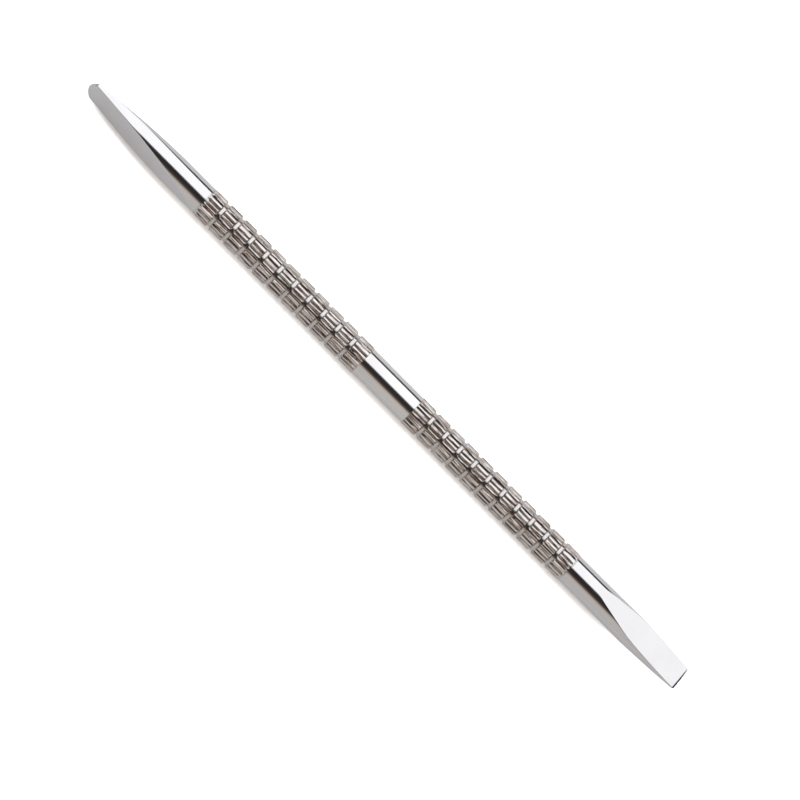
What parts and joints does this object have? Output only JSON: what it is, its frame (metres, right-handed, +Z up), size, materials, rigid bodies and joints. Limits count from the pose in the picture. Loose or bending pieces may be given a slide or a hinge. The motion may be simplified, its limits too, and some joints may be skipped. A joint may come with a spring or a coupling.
{
  "type": "cuticle pusher",
  "caption": "Double-ended cuticle pusher: knurled steel bar with a rounded spatula blade at one end and a straight scraper blade at the other.",
  "frame": {"origin": "middle of the tool's length, on the table under its axis: the tool lies on its knurl", "axes": "+X along the tool from the pusher's tip to the scraper's edge, +Z up from the table, +Y across"},
  "size_m": [0.127, 0.0052, 0.0052],
  "materials": {
    "handle_steel": "polished stainless steel, straight knurl",
    "blade_steel": "mirror-polished stainless steel with fine ground lines along the flats"
  },
  "bodies": {
    "root": {"handle": "handle_steel", "pusher_end": "blade_steel", "scraper_end": "blade_steel"}
  },
  "joints": []
}
